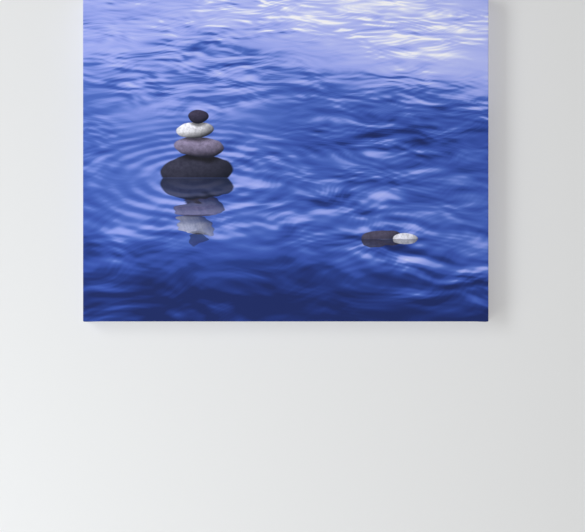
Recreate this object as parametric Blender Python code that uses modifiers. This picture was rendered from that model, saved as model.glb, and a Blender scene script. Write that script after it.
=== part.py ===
# A stretched canvas wall print: one printed canvas pulled over four mitred pine bars, ready to hang.
# Metres. +Z is up, the picture faces -Y, and the wall is the plane y = 0.
# The origin is where the wall nail carries the hanger's middle notch.

import math

import bmesh
import bpy
from mathutils import Matrix, Vector

# Driving dimensions
PANEL_WIDTH = 0.762
PANEL_HEIGHT = 0.6096
PANEL_DEPTH = 0.0381
CANVAS_THICKNESS = 0.0006
GAP = 0.0003

# The canvas
EDGE_RADIUS = 0.0012
EDGE_SEGMENTS = 3
FLANGE_WIDTH = 0.020
FOLD_LENGTH = 0.034
FOLD_SINK = 0.0003
FOLD_INSET = 0.0017

# The stretcher bars
BAR_WIDTH = 0.034
BEAD_WIDTH = 0.0055
BEAD_STEP = 0.0022
FRONT_FALL = 0.0048
BAR_EASE = 0.0006
INNER_EASE = 0.0015

# The brace across the middle
BRACE_WIDTH = 0.032
BRACE_DEPTH = 0.015
BRACE_EASE = 0.0008

# The corner keys, two in each corner, one behind the other
KEY_THICKNESS = 0.003
KEY_REAR = 0.017
KEY_REACH = 0.013
KEY_HEIGHT = 0.0125
KEY_TIP = 0.0022
KEY_SPACING = 0.0095
SLOT_CLEARANCE = 0.0004

# The hanger, a toothed steel strip bowed out from the top bar
HANGER_LENGTH = 0.064
HANGER_HEIGHT = 0.0095
HANGER_THICKNESS = 0.0008
HANGER_FOOT = 0.0075
HANGER_RAMP = 0.0035
HANGER_BOW = 0.0026
TOOTH_PITCH = 0.0035
TOOTH_DEPTH = 0.0018
NOTCH_COUNT = 11
HANGER_MIDLINE = 0.0272
NAIL_HOLE_RADIUS = 0.0011

# The two nails that fix the hanger
NAIL_SHANK_RADIUS = 0.0008
NAIL_HEAD_RADIUS = 0.0021
NAIL_HEAD_HEIGHT = 0.0009
NAIL_LENGTH = 0.014
NAIL_POINT = 0.002

# The two pads that keep the lower edge off the wall
PAD_RADIUS = 0.0062
PAD_HEIGHT = 0.0036
PAD_EASE = 0.0012
PAD_RISE = 0.0525

ROUND_STEPS = 32
CUT_MARGIN = 0.002

# Places worked out from the sizes above
CANVAS_BACK = -(PAD_HEIGHT + GAP)
CANVAS_FRONT = CANVAS_BACK - PANEL_DEPTH
BAR_BACK = CANVAS_BACK - CANVAS_THICKNESS - GAP
BAR_FRONT = CANVAS_FRONT + CANVAS_THICKNESS + GAP
BAR_DEPTH = BAR_BACK - BAR_FRONT
FRAME_WIDTH = PANEL_WIDTH - 2 * (CANVAS_THICKNESS + GAP)
FRAME_HEIGHT = PANEL_HEIGHT - 2 * (CANVAS_THICKNESS + GAP)
NOTCH_DEPTH = HANGER_MIDLINE + HANGER_HEIGHT / 2 - TOOTH_DEPTH
PANEL_TOP = NOTCH_DEPTH
PANEL_MIDDLE = PANEL_TOP - PANEL_HEIGHT / 2
INNER_HALF_WIDTH = FRAME_WIDTH / 2 - BAR_WIDTH
INNER_HALF_HEIGHT = FRAME_HEIGHT / 2 - BAR_WIDTH


def clear_scene():
    for thing in list(bpy.data.objects):
        bpy.data.objects.remove(thing)


def new_collection(name):
    group = bpy.data.collections.new(name)
    bpy.context.scene.collection.children.link(group)
    return group


def new_material(name, colour, roughness, metallic=0.0):
    material = bpy.data.materials.new(name)
    material.use_nodes = True
    shader = material.node_tree.nodes["Principled BSDF"]
    shader.inputs["Base Color"].default_value = (*colour, 1.0)
    shader.inputs["Roughness"].default_value = roughness
    shader.inputs["Metallic"].default_value = metallic
    return material


def link_mesh(name, mesh, material=None):
    thing = bpy.data.objects.new(name, mesh)
    print_parts.objects.link(thing)
    if material:
        mesh.materials.append(material)
    return thing


def as_cutter(thing):
    print_parts.objects.unlink(thing)
    cutters.objects.link(thing)
    thing.hide_render = True
    thing.display_type = "WIRE"
    return thing


def block(name, size, centre, material=None):
    """A box of that size about a point."""
    mesh = bpy.data.meshes.new(name)
    shape = bmesh.new()
    bmesh.ops.create_cube(shape, size=1.0)
    bmesh.ops.scale(shape, vec=Vector(size), verts=shape.verts)
    shape.to_mesh(mesh)
    shape.free()
    thing = link_mesh(name, mesh, material)
    thing.location = centre
    return thing


def flat_piece(name, outline, thickness, material=None):
    """A flat outline in the curve's own XY plane, thickened evenly to both sides, as a welded mesh."""
    curve = bpy.data.curves.new(name + "_outline", "CURVE")
    curve.dimensions = "2D"
    curve.fill_mode = "BOTH"
    curve.extrude = thickness / 2
    spline = curve.splines.new("POLY")
    spline.points.add(len(outline) - 1)
    for point, (across, up) in zip(spline.points, outline):
        point.co = (across, up, 0.0, 1.0)
    spline.use_cyclic_u = True
    source = bpy.data.objects.new(name + "_outline", curve)
    print_parts.objects.link(source)
    bpy.context.view_layer.update()
    graph = bpy.context.evaluated_depsgraph_get()
    mesh = bpy.data.meshes.new_from_object(source.evaluated_get(graph))
    mesh.name = name
    shape = bmesh.new()
    shape.from_mesh(mesh)
    bmesh.ops.remove_doubles(shape, verts=shape.verts, dist=1e-5)
    bmesh.ops.recalc_face_normals(shape, faces=shape.faces)
    shape.to_mesh(mesh)
    shape.free()
    bpy.data.objects.remove(source)
    bpy.data.curves.remove(curve)
    return link_mesh(name, mesh, material)


def turned_piece(name, profile, material):
    """A profile of (radius, height) points, top to bottom down its outer side, turned about +Z."""
    mesh = bpy.data.meshes.new(name)
    points = [(radius, 0.0, height) for radius, height in profile]
    mesh.from_pydata(points, [(i, i + 1) for i in range(len(points) - 1)], [])
    thing = link_mesh(name, mesh, material)
    screw = thing.modifiers.new("Turn", "SCREW")
    screw.steps = ROUND_STEPS
    screw.render_steps = ROUND_STEPS
    screw.use_merge_vertices = True
    screw.merge_threshold = 0.00001
    return thing


def round_cutter(name, radius, start, end, x, z):
    """A cylinder along Y, for boring a hole."""
    mesh = bpy.data.meshes.new(name)
    shape = bmesh.new()
    bmesh.ops.create_cone(
        shape,
        cap_ends=True,
        segments=ROUND_STEPS,
        radius1=radius,
        radius2=radius,
        depth=abs(end - start),
    )
    shape.to_mesh(mesh)
    shape.free()
    thing = link_mesh(name, mesh)
    thing.rotation_euler = (math.pi / 2, 0.0, 0.0)
    thing.location = (x, (start + end) / 2, z)
    return as_cutter(thing)


def bevel(thing, width, segments):
    rounding = thing.modifiers.new("Rounded edges", "BEVEL")
    rounding.width = width
    rounding.segments = segments
    rounding.limit_method = "ANGLE"
    return thing


def boolean(thing, other, operation):
    cut = thing.modifiers.new(operation.title() + " " + other.name, "BOOLEAN")
    cut.operation = operation
    cut.object = other
    cut.solver = "EXACT"
    return cut


def bar_outline():
    """The bar's section: (distance in from the outer edge, distance back from the front)."""
    return [
        (BAR_EASE, 0.0),
        (0.0, BAR_EASE),
        (0.0, BAR_DEPTH - BAR_EASE),
        (BAR_EASE, BAR_DEPTH),
        (BAR_WIDTH - INNER_EASE, BAR_DEPTH),
        (BAR_WIDTH, BAR_DEPTH - INNER_EASE),
        (BAR_WIDTH, FRONT_FALL + INNER_EASE),
        (BAR_WIDTH - INNER_EASE, FRONT_FALL),
        (BEAD_WIDTH + BEAD_STEP, BEAD_STEP),
        (BEAD_WIDTH, 0.0),
    ]


def stretcher_bar(name, length, turn, offset):
    """One mitred bar. It is modelled as the top bar, then turned about Y and set at its side of the frame."""
    bar = flat_piece(name, bar_outline(), length, pine)
    mitre_back_off = GAP / math.sqrt(2)
    for vertex in bar.data.vertices:
        inward, back, along = vertex.co
        end = math.copysign(length / 2 - inward - mitre_back_off, along)
        vertex.co = (end, BAR_FRONT + back, -inward)
    shape = bmesh.new()
    shape.from_mesh(bar.data)
    bmesh.ops.recalc_face_normals(shape, faces=shape.faces)
    bmesh.ops.transform(shape, matrix=Matrix.Rotation(turn, 4, "Y"), verts=shape.verts)
    shape.to_mesh(bar.data)
    shape.free()
    bar.location = (offset[0], 0.0, PANEL_MIDDLE + offset[1])
    return bar


def stretcher_frame():
    half_width = FRAME_WIDTH / 2
    half_height = FRAME_HEIGHT / 2
    return {
        "top": stretcher_bar("bar_top", FRAME_WIDTH, 0.0, (0.0, half_height)),
        "right": stretcher_bar("bar_right", FRAME_HEIGHT, math.pi / 2, (half_width, 0.0)),
        "bottom": stretcher_bar("bar_bottom", FRAME_WIDTH, math.pi, (0.0, -half_height)),
        "left": stretcher_bar("bar_left", FRAME_HEIGHT, -math.pi / 2, (-half_width, 0.0)),
    }


def key_outline():
    """A long wedge: its straight edge lies along one bar, its tip is in the slot of the other."""
    return [
        (-KEY_REAR, -GAP),
        (-KEY_REAR, -KEY_HEIGHT),
        (-KEY_REAR + KEY_HEIGHT * 0.35, -KEY_HEIGHT),
        (KEY_REACH, -KEY_TIP - GAP),
        (KEY_REACH, -GAP),
    ]


def corner_keys(bars):
    """Two wooden wedges in each inner corner, each with its slot in the bar that its tip enters."""
    middle = (BAR_FRONT + BAR_BACK) / 2
    slot_height = KEY_HEIGHT + SLOT_CLEARANCE
    slot_thickness = KEY_THICKNESS + 2 * SLOT_CLEARANCE
    slot_depth = KEY_REACH + SLOT_CLEARANCE
    for side, across in (("left", -1), ("right", 1)):
        for level, up in (("bottom", -1), ("top", 1)):
            corner = Vector(
                (
                    across * INNER_HALF_WIDTH,
                    0.0,
                    PANEL_MIDDLE + up * INNER_HALF_HEIGHT,
                )
            )
            for along in ("across", "upright"):
                lies_across = along == "across"
                depth = middle + (KEY_SPACING / 2 if lies_across else -KEY_SPACING / 2)
                key = flat_piece(
                    "key_" + level + "_" + side + "_" + along,
                    key_outline(),
                    KEY_THICKNESS,
                    beech,
                )
                for vertex in key.data.vertices:
                    first, second, thick = vertex.co
                    place = (first, second) if lies_across else (second, first)
                    vertex.co = (across * place[0], thick, up * place[1])
                shape = bmesh.new()
                shape.from_mesh(key.data)
                bmesh.ops.recalc_face_normals(shape, faces=shape.faces)
                shape.to_mesh(key.data)
                shape.free()
                key.location = corner + Vector((0.0, depth, 0.0))

                reach = slot_depth + CUT_MARGIN
                outward = (slot_depth - CUT_MARGIN) / 2
                inward = (slot_height - CUT_MARGIN) / 2
                if lies_across:
                    size = (reach, slot_thickness, slot_height + CUT_MARGIN)
                    shift = Vector((across * outward, depth, -up * inward))
                else:
                    size = (slot_height + CUT_MARGIN, slot_thickness, reach)
                    shift = Vector((-across * inward, depth, up * outward))
                slot = as_cutter(block("slot_for_" + key.name, size, corner + shift))
                boolean(bars[side if lies_across else level], slot, "DIFFERENCE")


def brace():
    """The upright bar that stops the long bars bowing, level with their backs."""
    height = 2 * (INNER_HALF_HEIGHT - GAP)
    centre = (0.0, BAR_BACK - BRACE_DEPTH / 2, PANEL_MIDDLE)
    piece = block("brace", (BRACE_WIDTH, BRACE_DEPTH, height), centre, pine)
    return bevel(piece, BRACE_EASE, 2)


def fold_prism(name, outline, height, place):
    """A thin layer of folded canvas: an outline of points, thickened by one layer and sunk a little."""
    layer = flat_piece(name, outline, height)
    for vertex in layer.data.vertices:
        vertex.co = place(*vertex.co)
    shape = bmesh.new()
    shape.from_mesh(layer.data)
    bmesh.ops.recalc_face_normals(shape, faces=shape.faces)
    shape.to_mesh(layer.data)
    shape.free()
    return layer


def corner_folds():
    """The extra canvas of each corner: a slanting fold on the upper and lower edge that ends on the back."""
    layers = []
    thick = CANVAS_THICKNESS + FOLD_SINK
    rise = (CANVAS_THICKNESS - FOLD_SINK) / 2
    half_width = PANEL_WIDTH / 2
    half_height = PANEL_HEIGHT / 2
    inset = FOLD_INSET
    for across in (-1, 1):
        for up in (-1, 1):
            tag = ("left" if across < 0 else "right") + ("_low" if up < 0 else "_high")
            edge_fold = [
                (inset, PANEL_DEPTH - inset),
                (inset, inset),
                (inset + CANVAS_THICKNESS, inset),
                (FOLD_LENGTH, PANEL_DEPTH - inset),
            ]

            def on_edge(inward, back, layer, across=across, up=up):
                x = across * (half_width - inward)
                z = PANEL_MIDDLE + up * (half_height + rise + layer)
                return (x, CANVAS_FRONT + back, z)

            layers.append(fold_prism("fold_edge_" + tag, edge_fold, thick, on_edge))

            flange = FLANGE_WIDTH - CANVAS_THICKNESS
            length_at_cut = FOLD_LENGTH * (PANEL_DEPTH + flange) / PANEL_DEPTH
            back_fold = [(inset, inset), (flange, flange), (length_at_cut, flange), (FOLD_LENGTH, inset)]

            def on_back(inward, down, layer, across=across, up=up):
                x = across * (half_width - inward)
                z = PANEL_MIDDLE + up * (half_height - down)
                return (x, CANVAS_BACK + rise + layer, z)

            layers.append(fold_prism("fold_back_" + tag, back_fold, thick, on_back))
    return layers


def canvas():
    """One sheet over the front, round the four edges and onto the back, with its folded corners."""
    outer_size = (PANEL_WIDTH, PANEL_DEPTH, PANEL_HEIGHT)
    centre = (0.0, (CANVAS_FRONT + CANVAS_BACK) / 2, PANEL_MIDDLE)
    sheet = block("canvas", outer_size, centre, printed_canvas)
    bevel(sheet, EDGE_RADIUS, EDGE_SEGMENTS)

    inner_size = [side - 2 * CANVAS_THICKNESS for side in outer_size]
    inside = as_cutter(block("canvas_inside", inner_size, centre))
    bevel(inside, EDGE_RADIUS - CANVAS_THICKNESS, EDGE_SEGMENTS)

    opening_size = (
        PANEL_WIDTH - 2 * FLANGE_WIDTH,
        PANEL_DEPTH / 2,
        PANEL_HEIGHT - 2 * FLANGE_WIDTH,
    )
    opening_centre = (0.0, CANVAS_BACK, PANEL_MIDDLE)
    opening = as_cutter(block("canvas_back_opening", opening_size, opening_centre))

    boolean(sheet, inside, "DIFFERENCE")
    boolean(sheet, opening, "DIFFERENCE")
    for layer in corner_folds():
        boolean(sheet, as_cutter(layer), "UNION")
    return sheet


def hanger_columns():
    """(x, lower edge, bow) along the strip: flat feet, short ramps, and teeth along the bowed middle."""
    half = HANGER_LENGTH / 2
    foot = half - HANGER_FOOT
    ramp = foot - HANGER_RAMP
    teeth_half = TOOTH_PITCH * NOTCH_COUNT / 2
    columns = [(-half, 0.0, 0.0), (-foot, 0.0, 0.0), (-ramp, 0.0, HANGER_BOW)]
    for step in range(2 * NOTCH_COUNT + 1):
        x = -teeth_half + step * TOOTH_PITCH / 2
        columns.append((x, TOOTH_DEPTH if step % 2 else 0.0, HANGER_BOW))
    columns += [(ramp, 0.0, HANGER_BOW), (foot, 0.0, 0.0), (half, 0.0, 0.0)]
    return columns


def hanger(top_bar):
    """The toothed strip, fixed to bare wood on the back of the top bar by a nail through each foot."""
    lower = PANEL_TOP - HANGER_MIDLINE - HANGER_HEIGHT / 2
    upper = lower + HANGER_HEIGHT
    plate = BAR_BACK + GAP
    mesh = bpy.data.meshes.new("hanger")
    shape = bmesh.new()
    rows = []
    for x, rise, bow in hanger_columns():
        low = shape.verts.new((x, plate + bow, lower + rise))
        high = shape.verts.new((x, plate + bow, upper))
        rows.append((low, high))
    for (low, high), (next_low, next_high) in zip(rows, rows[1:]):
        shape.faces.new((low, high, next_high, next_low))
    bmesh.ops.recalc_face_normals(shape, faces=shape.faces)
    shape.to_mesh(mesh)
    shape.free()
    strip = link_mesh("hanger", mesh, steel)
    front_face = sum(face.normal.y for face in mesh.polygons) < 0
    solid = strip.modifiers.new("Sheet steel", "SOLIDIFY")
    solid.thickness = HANGER_THICKNESS
    solid.offset = -1.0 if front_face else 1.0

    nail_x = HANGER_LENGTH / 2 - HANGER_FOOT / 2
    nail_z = (lower + upper) / 2
    head_base = plate + HANGER_THICKNESS + GAP
    for side, across in (("left", -1), ("right", 1)):
        hole = round_cutter(
            "nail_hole_" + side,
            NAIL_HOLE_RADIUS,
            head_base + CUT_MARGIN,
            head_base - NAIL_LENGTH - CUT_MARGIN / 4,
            across * nail_x,
            nail_z,
        )
        boolean(strip, hole, "DIFFERENCE")
        boolean(top_bar, hole, "DIFFERENCE")
        nail("nail_" + side, across * nail_x, head_base, nail_z)
    return strip


def nail(name, x, head_base, z):
    """A round-headed nail, its point forward in the bar."""
    profile = [
        (0.0, NAIL_HEAD_HEIGHT),
        (NAIL_HEAD_RADIUS * 0.45, NAIL_HEAD_HEIGHT * 0.94),
        (NAIL_HEAD_RADIUS * 0.8, NAIL_HEAD_HEIGHT * 0.68),
        (NAIL_HEAD_RADIUS, NAIL_HEAD_HEIGHT * 0.2),
        (NAIL_HEAD_RADIUS, 0.0),
        (NAIL_SHANK_RADIUS, 0.0),
        (NAIL_SHANK_RADIUS, NAIL_POINT - NAIL_LENGTH),
        (0.0, -NAIL_LENGTH),
    ]
    piece = turned_piece(name, profile, steel)
    piece.rotation_euler = (-math.pi / 2, 0.0, 0.0)
    piece.location = (x, head_base, z)
    return piece


def pads():
    """Two soft pads behind the lower corners. Their flat faces meet the wall."""
    profile = [
        (0.0, PAD_HEIGHT),
        (PAD_RADIUS - PAD_EASE, PAD_HEIGHT),
        (PAD_RADIUS - PAD_EASE * 0.3, PAD_HEIGHT - PAD_EASE * 0.3),
        (PAD_RADIUS, PAD_HEIGHT - PAD_EASE),
        (PAD_RADIUS, 0.0),
        (0.0, 0.0),
    ]
    for side, across in (("left", -1), ("right", 1)):
        pad = turned_piece("pad_" + side, profile, rubber)
        pad.rotation_euler = (-math.pi / 2, 0.0, 0.0)
        x = across * (PANEL_WIDTH / 2 - FLANGE_WIDTH / 2)
        z = PANEL_TOP - PANEL_HEIGHT + PAD_RISE
        pad.location = (x, CANVAS_BACK + GAP, z)


def shade_round_pieces():
    for thing in print_parts.objects:
        if thing.name.startswith(("nail", "pad", "canvas")):
            thing.data.shade_smooth()
            thing.data.set_sharp_from_angle(angle=math.radians(35))


clear_scene()
print_parts = new_collection("canvas_wall_print")
cutters = new_collection("cutters")
printed_canvas = new_material("printed_canvas", (0.09, 0.14, 0.47), 0.62)
pine = new_material("pine", (0.66, 0.48, 0.29), 0.6)
beech = new_material("beech", (0.6, 0.4, 0.24), 0.55)
steel = new_material("zinc_plated_steel", (0.62, 0.63, 0.64), 0.32, 1.0)
rubber = new_material("pad_rubber", (0.03, 0.03, 0.032), 0.7)

stretcher_bars = stretcher_frame()
corner_keys(stretcher_bars)
brace()
canvas()
hanger(stretcher_bars["top"])
pads()
shade_round_pieces()
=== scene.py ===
import random
from functools import partial
from math import cos, dist, hypot, pi, radians, sin

import bmesh
import bpy
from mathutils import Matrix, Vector, noise


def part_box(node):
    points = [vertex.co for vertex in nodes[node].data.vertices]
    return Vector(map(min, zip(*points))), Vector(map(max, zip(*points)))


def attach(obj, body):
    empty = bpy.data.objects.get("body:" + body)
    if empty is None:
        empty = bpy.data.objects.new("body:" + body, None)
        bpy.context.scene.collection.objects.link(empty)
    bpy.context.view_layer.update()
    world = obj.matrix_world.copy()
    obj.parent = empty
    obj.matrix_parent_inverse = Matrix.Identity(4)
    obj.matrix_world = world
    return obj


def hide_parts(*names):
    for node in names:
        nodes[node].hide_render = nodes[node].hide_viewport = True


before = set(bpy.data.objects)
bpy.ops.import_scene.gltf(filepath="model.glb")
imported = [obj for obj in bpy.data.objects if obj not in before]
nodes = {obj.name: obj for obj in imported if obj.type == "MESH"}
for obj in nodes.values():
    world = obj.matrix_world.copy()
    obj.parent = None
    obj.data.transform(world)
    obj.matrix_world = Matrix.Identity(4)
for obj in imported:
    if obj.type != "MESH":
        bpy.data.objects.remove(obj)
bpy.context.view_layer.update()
mm = 0.001
print("frame loaded:", len(nodes), "solids")


def linearColour(hexValue):  # sRGB hex to the linear colour that shaders take
    channels = [int(hexValue[i : i + 2], 16) / 255 for i in (0, 2, 4)]
    return (*[c / 12.92 if c <= 0.04045 else ((c + 0.055) / 1.055) ** 2.4 for c in channels], 1.0)


softly = {"interpolation_type": "SMOOTHSTEP"}  # settings that many nodes share
blended = {"data_type": "RGBA"}
turned = {"vector_type": "TEXTURE"}
flatNoise = {"noise_dimensions": "2D"}
lineNoise = {"noise_dimensions": "1D"}
firstTwo = slice(2)  # a node's first two outputs
mostNoise = (0.3, 0.7)  # nearly all of a noise lies between these


def addNode(tree, kind, inputs=None, settings=None, output=0):  # a node, its links and its settings
    settings = settings or {}
    if kind.isupper() or kind.islower():  # maths, by operation: in capitals on numbers, in small on vectors
        settings = {"operation": kind.upper(), **settings}
        kind = "Math" if kind.isupper() else "VectorMath"
    node = tree.nodes.new("ShaderNode" + kind)
    if kind == "ValToRGB":  # a colour ramp, whose settings are its places and colours
        elements = node.color_ramp.elements
        while len(elements) < len(settings):
            elements.new(0.5)
        for element, (position, hexValue) in zip(elements, settings):
            element.position = position
            element.color = linearColour(hexValue)
    else:
        for name, value in settings.items():
            setattr(node, name, value)
    if isinstance(inputs, list):  # in the order of the sockets that the node shows
        pairs = zip([socket for socket in node.inputs if socket.enabled], inputs)
    else:
        pairs = [(node.inputs[key], value) for key, value in (inputs or {}).items()]
    for socket, value in pairs:
        if isinstance(value, bpy.types.NodeSocket):
            tree.links.new(value, socket)
        else:
            socket.default_value = linearColour(value) if isinstance(value, str) else value
    return [socket for socket in node.outputs if socket.enabled][output]


def newMaterial(name, plain, uvMap=None):  # gives its own addNode, the place on the piece, and its surface
    material = bpy.data.materials.new(name)
    material.use_nodes = True
    for socket, value in plain.items():
        material.node_tree.nodes["Principled BSDF"].inputs[socket].default_value = value
    add = partial(addNode, material.node_tree)
    place = add("UVMap", settings={"uv_map": uvMap}) if uvMap else add("TexCoord", output=3)
    return add, place, partial(surface, material, add)


def surface(material, add, colour, height, bump, roughness=None):  # joins what the nodes make to the shader
    strength, depth = bump
    normal = add("Bump", {"Strength": strength, "Distance": depth, "Height": height})
    tree = material.node_tree
    for socket, value in {"Base Color": colour, "Roughness": roughness, "Normal": normal}.items():
        if value is not None:
            tree.links.new(value, tree.nodes["Principled BSDF"].inputs[socket])
    return material


def toMesh(name, shape):  # turns a finished bmesh into a mesh
    mesh = bpy.data.meshes.new(name)
    shape.to_mesh(mesh)
    shape.free()
    return mesh


def newObject(name, data):
    thing = bpy.data.objects.new(name, data)
    bpy.context.scene.collection.objects.link(thing)
    return thing


def meshPiece(name, shape, materials):  # a finished bmesh as an object of the print
    bmesh.ops.recalc_face_normals(shape, faces=shape.faces)
    mesh = toMesh(name, shape)
    for material in materials:
        mesh.materials.append(material)
    piece = newObject(name, mesh)
    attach(piece, "root")
    return piece


# The print's size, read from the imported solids

low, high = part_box("canvas")
barsBottom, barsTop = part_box("bar_bottom")[0][2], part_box("bar_top")[1][2]
skin = 0.9 * mm  # the cloth and the gap under it
halves = (high[0], (barsTop - barsBottom) / 2 + skin)  # half the width and half the height
panel = {
    "middle": (barsTop + barsBottom) / 2,
    "front": low[1],
    "depth": 38.1 * mm,
}
panel["back"] = panel["front"] + panel["depth"]
panelCorners = [(right, top) for right in (-1, 1) for top in (-1, 1)]


# The room: a plain wall behind the print, a pale floor, and soft light from the upper left

room = {
    "wall": ((9.0, 6.0), "E9EAEA", False),  # size, colour, and whether it shows in what mirrors it
    "floor": ((9.0, 9.0), "DCDCDA", True),
    "wallGap": 0.4 * mm,  # behind the pads and the hanger
    "mottle": (1.3, 2.0),  # rolled paint is a little uneven: patches a metre, detail
    "mottleTone": 0.97,
    "hangHeight": 1.5,  # the picture's middle above the floor
    "lensMm": 120.0,
    "sensorMm": 36.0,
    "imageWidth": 585,
    "metresPerPixel": 0.762 / 405.5,  # the print is 405.5 pixels wide in the photograph
    "cameraRight": 6.75,  # pixels from the print's middle to the image's middle
    "cameraAboveEdge": 55.5,  # pixels from the print's lower edge up to the image's middle
    "softboxes": {  # place from the picture's middle, aim, size, watts, colour, what it leaves out
        "keyHigh": ((-2.8, -2.75, 0.55), (0.1, 0.0, -0.1), (1.4, 2.6), 54.5, "F7FBFF", ""),
        "keyLow": ((-0.92, -1.55, -1.3), (0.1, 0.0, -0.1), (2.6, 1.0), 16.6, "F7FBFF", "floor"),
        "backLeft": ((1.15, 2.9, 1.0), (0.0, 0.0, 0.0), (1.6, 1.6), 50.0, "FCFCFF", ""),
        "backRight": ((-1.3, 2.6, 0.5), (0.0, 0.0, 0.0), (1.4, 1.4), 22.0, "FFFDFA", ""),
    },
    "suns": {  # degrees about X and Y from straight down, strength, spread, colour, what it leaves out
        "frontFill": ((90, 0), 1.53, 4, "FFFCF9", ""),  # straight ahead: its shadow hides behind the print
        "fromAbove": ((0, 0), 2.0, 4, "FFFFFF", "wall"),  # for the floor and the upper edge
        "fromBelow": ((180, 0), 0.8, 8, "FFFFFF", "wall"),  # what the floor throws back on the lower edge
        "fromRight": ((0, 90), 0.6, 8, "FFFFFF", "wall"),  # for the side away from the softboxes
    },
    "worldColour": "F2F4F8",
    "worldLight": 0.05,  # the eye sees a bright studio, while the print is lit mostly by the softboxes
    "worldSeen": 0.82,
}


def backdrop(name, centre, turn):  # a plain sheet, not there when seen from behind
    size, colour, mirrored = room[name]
    shape = bmesh.new()
    bmesh.ops.create_grid(shape, x_segments=1, y_segments=1, size=0.5)
    sheet = newObject(name, toMesh(name, shape))
    sheet.scale = (*size, 1.0)
    sheet.location = centre
    sheet.rotation_euler = turn
    paintName = name + "EmulsionRolled"
    add, place = newMaterial(paintName, {"Roughness": 0.9, "Specular IOR Level": 0.25})[:2]
    mottle = add("TexNoise", [place, *room["mottle"]])
    darker = [room["mottleTone"] * c for c in linearColour(colour)]
    tint = add("Mix", [mottle, colour, darker], blended)
    paint = bpy.data.materials[paintName]
    tree = paint.node_tree
    shader = tree.nodes["Principled BSDF"]
    tree.links.new(tint, shader.inputs["Base Color"])
    behind = add("NewGeometry", output=6)
    clear = add("BsdfTransparent")
    mixed = add("MixShader", [behind, shader.outputs[0], clear])
    tree.links.new(mixed, tree.nodes["Material Output"].inputs[0])
    sheet.visible_glossy = mirrored
    sheet.visible_shadow = False
    sheet.visible_diffuse = False  # neither sheet throws its own colour back on the print
    sheet.data.materials.append(paint)
    return sheet


def newLight(name, kind, power, colour, leftOut):  # leftOut: a backdrop that this light doesn't fall on
    lamp = bpy.data.lights.new(name, kind)
    lamp.energy = power
    lamp.color = linearColour(colour)[:3]
    light = newObject(name, lamp)
    light.visible_camera = False
    if leftOut:
        receivers = bpy.data.collections.new(name + "Receivers")
        receivers.objects.link(leftOut)
        receivers.collection_objects[0].light_linking.link_state = "EXCLUDE"
        light.light_linking.receiver_collection = receivers
    return light


def makeRoom():
    scene = bpy.context.scene
    scene.view_settings.view_transform = "Standard"
    scene.world = bpy.data.worlds.new("studio")
    scene.world.use_nodes = True
    tree = scene.world.node_tree
    background = tree.nodes["Background"]
    background.inputs[0].default_value = linearColour(room["worldColour"])
    ray = addNode(tree, "LightPath")
    level = addNode(tree, "MapRange", {0: ray, 3: room["worldLight"], 4: room["worldSeen"]})
    tree.links.new(level, background.inputs[1])
    centre = Vector((0.0, 0.0, panel["middle"]))
    floorLevel = panel["middle"] - room["hangHeight"]
    wallMiddle, upright = floorLevel + room["wall"][0][1] / 2, (pi / 2, 0, 0)
    sheets = {
        "wall": backdrop("wall", (0.0, room["wallGap"], wallMiddle), upright),
        "floor": backdrop("floor", (0, 0, floorLevel), (0, 0, 0)),
    }
    for name, (place, aim, size, power, colour, leftOut) in room["softboxes"].items():
        light = newLight(name, "AREA", power, colour, sheets.get(leftOut))
        light.data.shape = "RECTANGLE"
        light.data.size, light.data.size_y = size
        light.location = centre + Vector(place)
        light.rotation_euler = (Vector(aim) - Vector(place)).to_track_quat("-Z", "Y").to_euler()
    for name, (turn, strength, spread, colour, leftOut) in room["suns"].items():
        light = newLight(name, "SUN", strength, colour, sheets.get(leftOut))
        light.data.angle = radians(spread)
        light.rotation_euler = (radians(turn[0]), radians(turn[1]), 0)
    camera = newObject("camera", bpy.data.cameras.new("camera"))
    scene.camera = camera
    camera.data.sensor_width = room["sensorMm"]
    camera.data.lens = room["lensMm"]
    pixelsToFocus = room["lensMm"] / room["sensorMm"] * room["imageWidth"]
    perPixel = room["metresPerPixel"]
    camera.location = (
        room["cameraRight"] * perPixel,
        panel["front"] - pixelsToFocus * perPixel,
        panel["middle"] - halves[1] + room["cameraAboveEdge"] * perPixel,
    )
    camera.rotation_euler = upright


makeRoom()
print("room, lights and camera made")


# The picture: still stones in rippled water at dusk, drawn by formulas in metres on the unfolded sheet

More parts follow.
